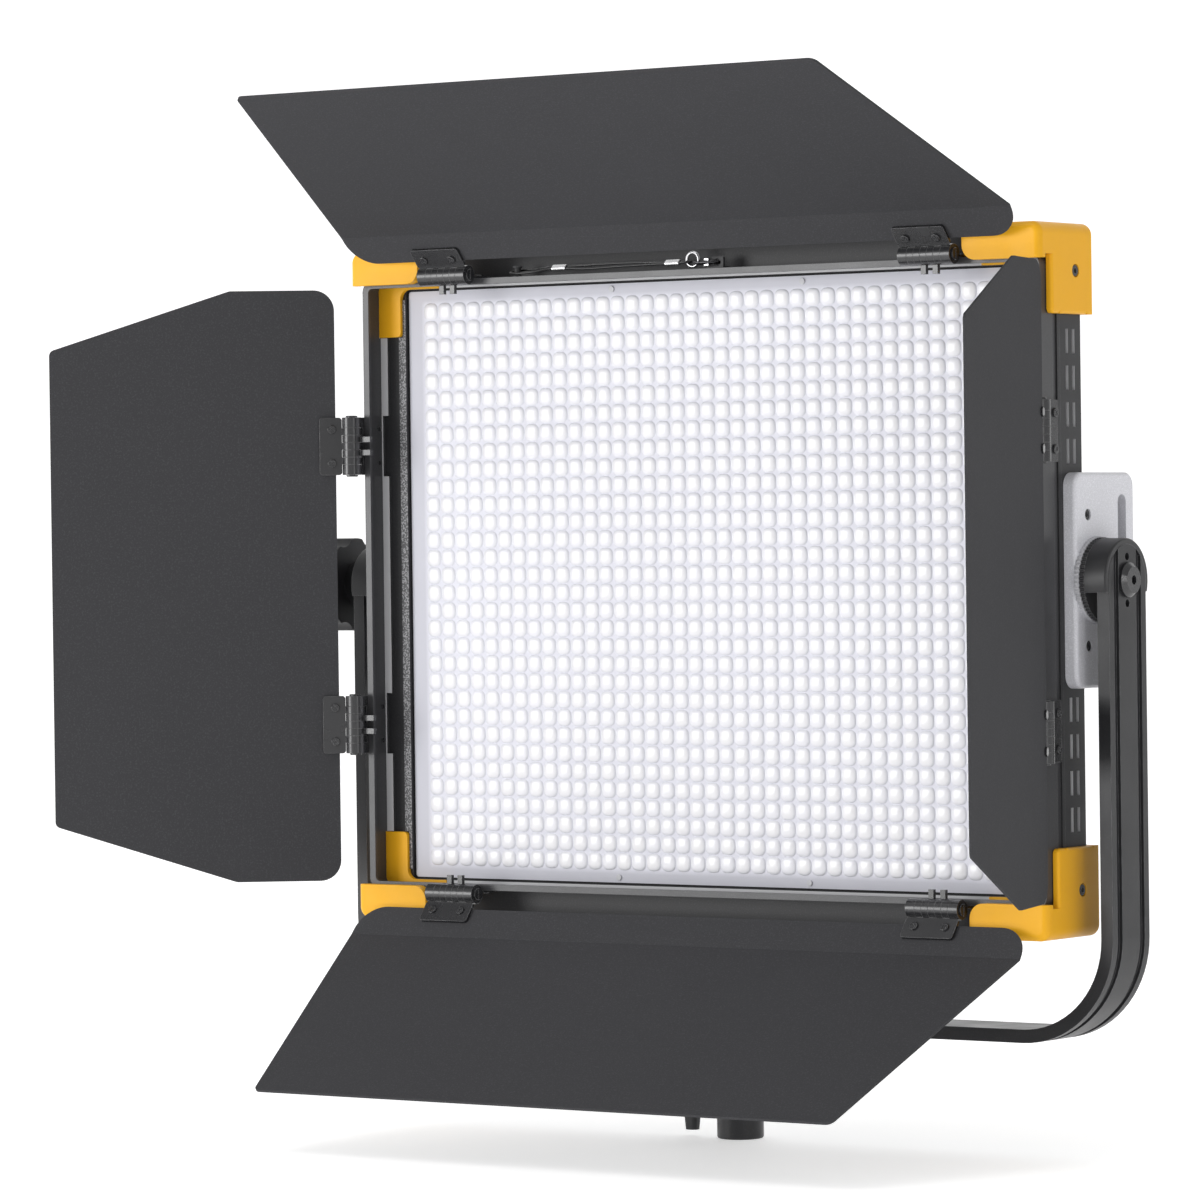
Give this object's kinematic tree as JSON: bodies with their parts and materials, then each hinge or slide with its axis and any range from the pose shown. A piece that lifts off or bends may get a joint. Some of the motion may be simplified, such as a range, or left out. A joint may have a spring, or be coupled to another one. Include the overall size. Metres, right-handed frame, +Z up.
{
  "type": "led panel light",
  "caption": "Flat rectangular LED panel light with folding barn doors and corner guards, tilting in a U-shaped yoke with a stand socket.",
  "frame": {"origin": "centre of the stand socket's mouth, under the yoke", "axes": "+X to the right seen from the front, the light shines along -Y, +Z up along the socket's axis"},
  "size_m": [0.7126, 0.2899, 0.6344],
  "materials": {
    "yoke_black": "satin black powder coat on an extrusion, slightly speckled",
    "cap_black": "moulded black",
    "rosette_grey": "moulded light grey",
    "steel_black": "black oxide fastener",
    "steel": "bright machined steel",
    "knob_black": "moulded black, fine grain",
    "body_black": "satin charcoal powder coat",
    "lens_white": "translucent white lens array",
    "gasket_black": "soft black seal",
    "board_white": "white-faced aluminium board",
    "heat_sink": "plain aluminium",
    "guard_yellow": "moulded yellow, softly grained",
    "plate_grey": "light grey satin coat",
    "door_black": "matt black powder-coated sheet",
    "hinge_black": "black coated",
    "rope_steel": "stranded wire rope",
    "ferrule": "crimped sleeve",
    "housing_black": "satin charcoal powder coat",
    "fascia_black": "satin membrane panel",
    "display_glass": "dark display window",
    "board_green": "circuit board",
    "button_grey": "soft grey key",
    "socket_black": "moulded black"
  },
  "bodies": {
    "yoke": {"yoke_bracket": "yoke_black", "arm_caps": "cap_black", "outer_rosettes": "cap_black", "stand_receiver": "yoke_black", "receiver_bolt": "steel_black"},
    "clamp_handle": {"clamp_knob": "knob_black", "clamp_screw": "steel"},
    "tilt_lock": {"tilt_knob": "knob_black", "tilt_lock_screw": "steel"},
    "head": {"pivot_bolt": "steel_black", "inner_rosettes": "rosette_grey", "body_rim": "body_black", "front_bezel": "body_black", "lens_panel": "lens_white", "panel_gasket": "gasket_black", "panel_screws": "steel", "led_board": "board_white", "heat_sink": "heat_sink", "rear_cover": "body_black", "corner_guard_top_left": "guard_yellow", "corner_guard_top_right": "guard_yellow", "corner_guard_bottom_left": "guard_yellow", "corner_guard_bottom_right": "guard_yellow", "side_plate_left": "plate_grey", "side_plate_right": "plate_grey", "side_screws": "steel_black", "barndoor_frame": "door_black", "frame_hinges_sides": "hinge_black", "frame_hinges_ends": "hinge_black", "hinge_pins": "steel_black", "frame_hinge_screws": "steel_black", "safety_rope": "rope_steel", "rope_ferrules": "ferrule", "rope_anchor": "hinge_black", "snap_hook": "steel_black", "control_housing": "housing_black", "control_fascia": "fascia_black", "display": "display_glass", "driver_board": "board_green", "switch_frame": "socket_black", "power_inlet": "socket_black", "data_sockets": "socket_black"},
    "hook_gate": {"hook_gate": "steel_black"},
    "dimmer_knob": {"dimmer_knob": "knob_black"},
    "colour_knob": {"colour_knob": "knob_black"},
    "menu_button": {"menu_button": "button_grey"},
    "mode_button": {"mode_button": "button_grey"},
    "power_switch": {"switch_rocker": "socket_black"},
    "left_door": {"door_left": "door_black", "door_hinges_left": "hinge_black", "door_screws_left": "steel_black"},
    "right_door": {"door_right": "door_black", "door_hinges_right": "hinge_black", "door_screws_right": "steel_black"},
    "top_door": {"door_top": "door_black", "door_hinges_top": "hinge_black", "door_screws_top": "steel_black"},
    "bottom_door": {"door_bottom": "door_black", "door_hinges_bottom": "hinge_black", "door_screws_bottom": "steel_black"}
  },
  "joints": [
    {"name": "head_tilt", "type": "hinge", "parent": "yoke", "child": "head", "pos_m": [0, 0, 0.339], "axis": [1, 0, 0], "range_deg": [-90, 12]},
    {"name": "tilt_lock_turn", "type": "hinge", "parent": "yoke", "child": "tilt_lock", "pos_m": [-0.3, 0, 0.339], "axis": [1, 0, 0], "range_deg": [0, 360]},
    {"name": "clamp_turn", "type": "hinge", "parent": "yoke", "child": "clamp_handle", "pos_m": [-0.0355, 0, 0.029], "axis": [1, 0, 0], "range_deg": [0, 360]},
    {"name": "left_door_fold", "type": "hinge", "parent": "head", "child": "left_door", "pos_m": [-0.2517, -0.0533, 0.339], "axis": [0, 0, 1], "range_deg": [-39, 140.8]},
    {"name": "right_door_fold", "type": "hinge", "parent": "head", "child": "right_door", "pos_m": [0.2517, -0.0533, 0.339], "axis": [0, 0, -1], "range_deg": [-72, 107.8]},
    {"name": "top_door_fold", "type": "hinge", "parent": "head", "child": "top_door", "pos_m": [0, -0.0533, 0.5303], "axis": [1, 0, 0], "range_deg": [-18, 103]},
    {"name": "bottom_door_fold", "type": "hinge", "parent": "head", "child": "bottom_door", "pos_m": [0, -0.0533, 0.1477], "axis": [-1, 0, 0], "range_deg": [-15.5, 106]},
    {"name": "hook_gate_swing", "type": "hinge", "parent": "head", "child": "hook_gate", "pos_m": [0.0138, -0.0444, 0.5321], "axis": [0, 0, 1], "range_deg": [-40, 0], "stiffness_Nm_per_rad": 0.004, "springref_deg": 11.46},
    {"name": "dimmer_turn", "type": "hinge", "parent": "head", "child": "dimmer_knob", "pos_m": [0.04, 0.045, 0.339], "axis": [0, 1, 0], "continuous": true},
    {"name": "colour_turn", "type": "hinge", "parent": "head", "child": "colour_knob", "pos_m": [0.084, 0.045, 0.339], "axis": [0, 1, 0], "continuous": true},
    {"name": "menu_press", "type": "slide", "parent": "head", "child": "menu_button", "axis": [0, -1, 0], "range_m": [0, 0.001], "stiffness_N_per_m": 400, "springref_m": -0.001},
    {"name": "mode_press", "type": "slide", "parent": "head", "child": "mode_button", "axis": [0, -1, 0], "range_m": [0, 0.001], "stiffness_N_per_m": 400, "springref_m": -0.001},
    {"name": "power_rock", "type": "hinge", "parent": "head", "child": "power_switch", "pos_m": [0.146, 0.0428, 0.339], "axis": [1, 0, 0], "range_deg": [-16, 0]}
  ]
}
